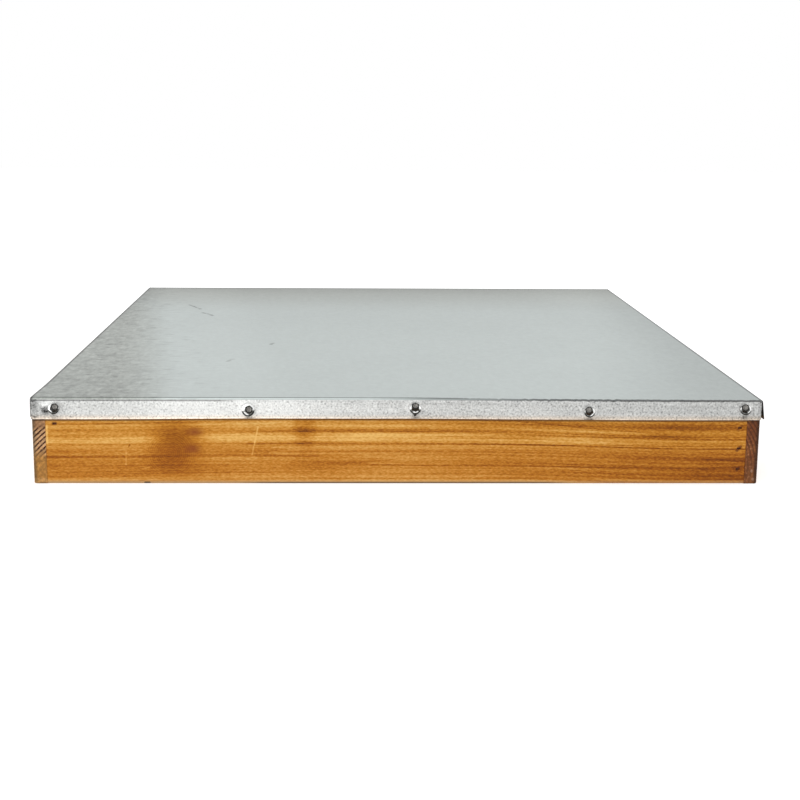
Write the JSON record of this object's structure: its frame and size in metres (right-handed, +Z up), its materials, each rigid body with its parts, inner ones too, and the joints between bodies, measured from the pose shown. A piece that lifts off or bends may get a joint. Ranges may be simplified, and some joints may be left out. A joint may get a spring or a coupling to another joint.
{
  "type": "hive outer cover",
  "caption": "Telescoping outer cover of a bee hive: rabbeted softwood rim and matched roof boards under a folded galvanised sheet screwed through its skirt.",
  "frame": {"origin": "middle of the plane that the rim stands on", "axes": "+Z up, -Y towards the front edge with the hand-driven screws, +X to the right of it"},
  "size_m": [0.4638, 0.5716, 0.0544],
  "materials": {
    "galvanised_sheet": "galvanised, dull, lightly scratched",
    "rim_wood": "waxed softwood, orange brown",
    "roof_wood": "waxed softwood, planed",
    "nail_wire": "dull steel wire, browned",
    "screw_zinc": "zinc plated, dark in the dish"
  },
  "bodies": {
    "root": {"steel_sheet": "galvanised_sheet", "front_board": "rim_wood", "back_board": "rim_wood", "left_board": "rim_wood", "right_board": "rim_wood", "roof_board_1": "roof_wood", "roof_board_2": "roof_wood", "roof_board_3": "roof_wood", "roof_board_4": "roof_wood", "roof_board_5": "roof_wood", "front_batten": "roof_wood", "back_batten": "roof_wood", "front_left_corner_nails": "nail_wire", "front_right_corner_nails": "nail_wire", "back_left_corner_nails": "nail_wire", "back_right_corner_nails": "nail_wire", "front_roof_nails": "nail_wire", "back_roof_nails": "nail_wire", "left_roof_nails": "nail_wire", "right_roof_nails": "nail_wire", "front_batten_nails": "nail_wire", "back_batten_nails": "nail_wire", "front_screws": "screw_zinc", "back_screws": "screw_zinc"}
  },
  "joints": []
}
